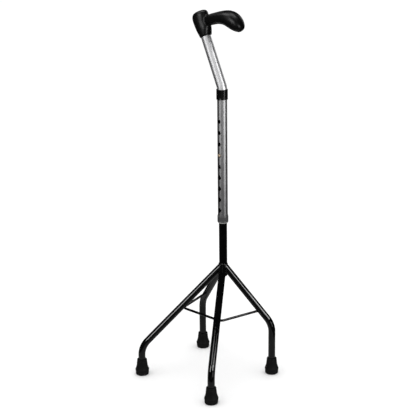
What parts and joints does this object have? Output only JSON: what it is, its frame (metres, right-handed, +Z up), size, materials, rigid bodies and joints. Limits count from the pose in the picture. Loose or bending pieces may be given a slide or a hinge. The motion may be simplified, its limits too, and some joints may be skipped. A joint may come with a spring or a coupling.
{
  "type": "quad walking cane",
  "caption": "Height-adjustable walking cane with an anatomical grip on a swan-neck tube, a push-button telescopic shaft and an offset splayed-leg base with rubber feet.",
  "frame": {"origin": "on the floor, midway between the four feet", "axes": "+Z up; +Y forward, the way the neck leans and the handle's boss points; +X towards the user, the side of the short legs. The shaft stands at X = 0.058."},
  "size_m": [0.2356, 0.2496, 0.8277],
  "materials": {
    "black_paint": "gloss black powder coat",
    "black_plastic": "black moulded plastic",
    "handle_plastic": "satin black moulded grip",
    "grey_plastic": "dark grey moulded plastic",
    "nylon": "pale natural nylon",
    "grey_anodised": "satin grey anodised tube",
    "bright_aluminium": "bright polished tube",
    "brass": "plain brass",
    "zinc": "zinc-plated steel",
    "spring_steel": "blued spring steel",
    "rubber": "matt black rubber"
  },
  "bodies": {
    "base": {"stem": "black_paint", "stem_end_plug": "black_plastic", "stem_top_guide": "nylon", "brace_rod": "black_paint", "button_spring": "spring_steel", "leg_front_inner": "black_paint", "ferrule_front_inner": "rubber", "ferrule_washer_front_inner": "zinc", "leg_rear_inner": "black_paint", "ferrule_rear_inner": "rubber", "ferrule_washer_rear_inner": "zinc", "leg_front_outer": "black_paint", "ferrule_front_outer": "rubber", "ferrule_washer_front_outer": "zinc", "leg_rear_outer": "black_paint", "ferrule_rear_outer": "rubber", "ferrule_washer_rear_outer": "zinc"},
    "button": {"snap_button": "brass"},
    "upper_section": {"height_tube": "grey_anodised", "lower_collar": "grey_plastic", "guide_sleeve": "nylon", "upper_collar": "black_plastic", "neck_tube": "bright_aluminium", "neck_rivet": "zinc", "neck_plug": "nylon", "handle_screw": "zinc", "handle": "handle_plastic"}
  },
  "joints": [
    {"name": "height_adjust", "type": "slide", "parent": "base", "child": "upper_section", "axis": [0, 0, 1], "range_m": [-0.0762, 0.127], "deforming": ["snap_button"]},
    {"name": "button_press", "type": "slide", "parent": "base", "child": "button", "axis": [1, 0, 0], "range_m": [0, 0.0036], "stiffness_N_per_m": 1500, "deforming": ["button_spring"]}
  ]
}
